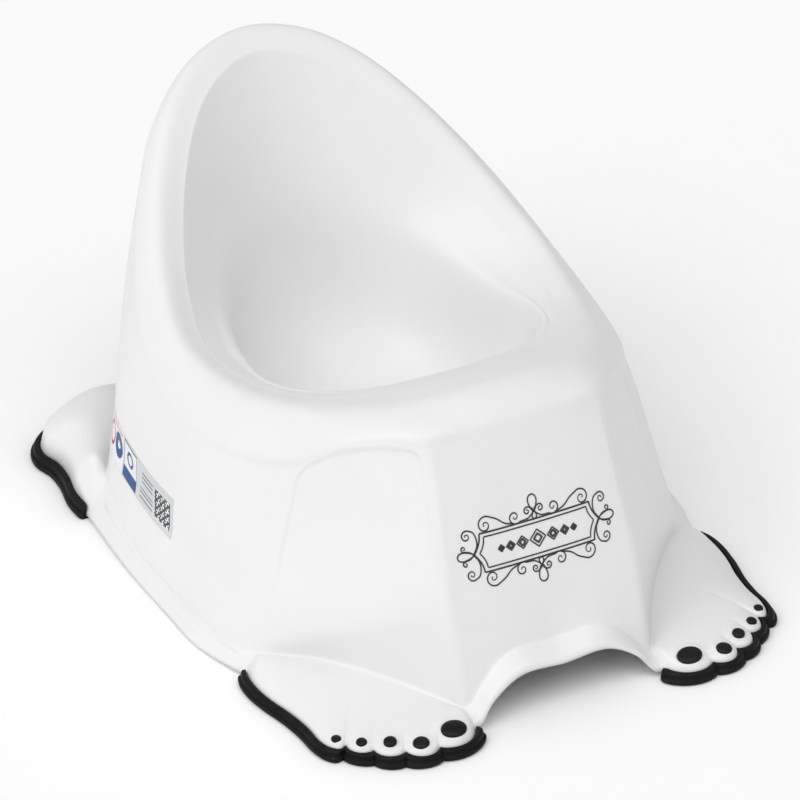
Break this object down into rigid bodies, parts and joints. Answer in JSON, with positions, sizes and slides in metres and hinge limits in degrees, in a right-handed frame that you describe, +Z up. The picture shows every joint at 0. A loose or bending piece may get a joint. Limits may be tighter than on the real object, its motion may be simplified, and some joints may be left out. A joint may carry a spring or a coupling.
{
  "type": "potty training chair",
  "caption": "One-piece moulded potty chair with a high rolled back, an integral bowl and flared foot-shaped corners edged with rubber grips.",
  "frame": {"origin": "on the floor, below the centre of the whole object's box", "axes": "+Z up, front of the seat towards -Y, +X to the right seen from the front, mirror plane at X = 0"},
  "size_m": [0.2818, 0.3822, 0.2155],
  "materials": {
    "shell": "satin injection-moulded white",
    "rubber": "soft matt black",
    "sticker": "printed self-adhesive film",
    "print": "flat black ink"
  },
  "bodies": {
    "root": {"potty_body": "shell", "front_right_grip": "rubber", "rear_right_grip": "rubber", "right_toe_pad_1": "rubber", "right_toe_pad_2": "rubber", "right_toe_pad_3": "rubber", "right_toe_pad_4": "rubber", "right_toe_pad_5": "rubber", "front_left_grip": "rubber", "rear_left_grip": "rubber", "left_toe_pad_1": "rubber", "left_toe_pad_2": "rubber", "left_toe_pad_3": "rubber", "left_toe_pad_4": "rubber", "left_toe_pad_5": "rubber", "side_sticker": "sticker", "front_print": "print"}
  },
  "joints": []
}
